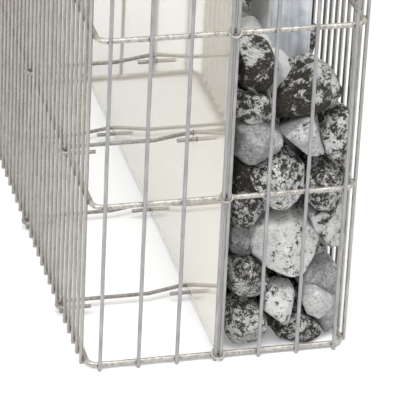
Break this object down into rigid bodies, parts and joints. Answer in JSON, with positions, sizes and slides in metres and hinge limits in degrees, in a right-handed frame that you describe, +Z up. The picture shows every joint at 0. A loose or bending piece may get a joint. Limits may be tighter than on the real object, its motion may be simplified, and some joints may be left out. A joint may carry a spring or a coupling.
{
  "type": "gabion wall",
  "caption": "Gabion wall bay of welded wire mats, split lengthwise by an upright sheet into an empty half with hooked spacers and a half partly filled with stones.",
  "frame": {"origin": "on the ground below the middle of the bay", "axes": "+X across the wall from the empty half to the stone-filled half, +Y along the wall away from the front end face, +Z up"},
  "size_m": [0.3198, 0.7144, 0.8141],
  "materials": {
    "galvanised_wire": "hot-dip galvanised, dull and mottled",
    "galvanised_post": "hot-dip galvanised, satin",
    "clip_wire": "zinc-coated, satin",
    "spacer_wire": "zinc-coated, satin",
    "glossy_sheet": "glossy cream white",
    "stones": "rough, speckled black and white"
  },
  "bodies": {
    "root": {"front_left_end_mesh": "galvanised_wire", "front_right_end_mesh": "galvanised_wire", "back_left_end_mesh": "galvanised_wire", "back_right_end_mesh": "galvanised_wire", "left_side_mesh": "galvanised_wire", "right_side_mesh": "galvanised_wire", "middle_mesh": "galvanised_wire", "separator_sheet": "glossy_sheet", "front_ring_clips": "clip_wire", "back_ring_clips": "clip_wire", "front_post": "galvanised_post", "back_post": "galvanised_post", "stone_fill": "stones", "empty_side_spacers_1": "spacer_wire", "empty_side_spacers_2": "spacer_wire", "empty_side_spacers_3": "spacer_wire", "empty_side_spacers_4": "spacer_wire", "empty_side_spacers_5": "spacer_wire", "stone_side_spacers_1": "spacer_wire", "stone_side_spacers_2": "spacer_wire", "stone_side_spacers_3": "spacer_wire", "stone_side_spacers_4": "spacer_wire", "stone_side_spacers_5": "spacer_wire"}
  },
  "joints": []
}
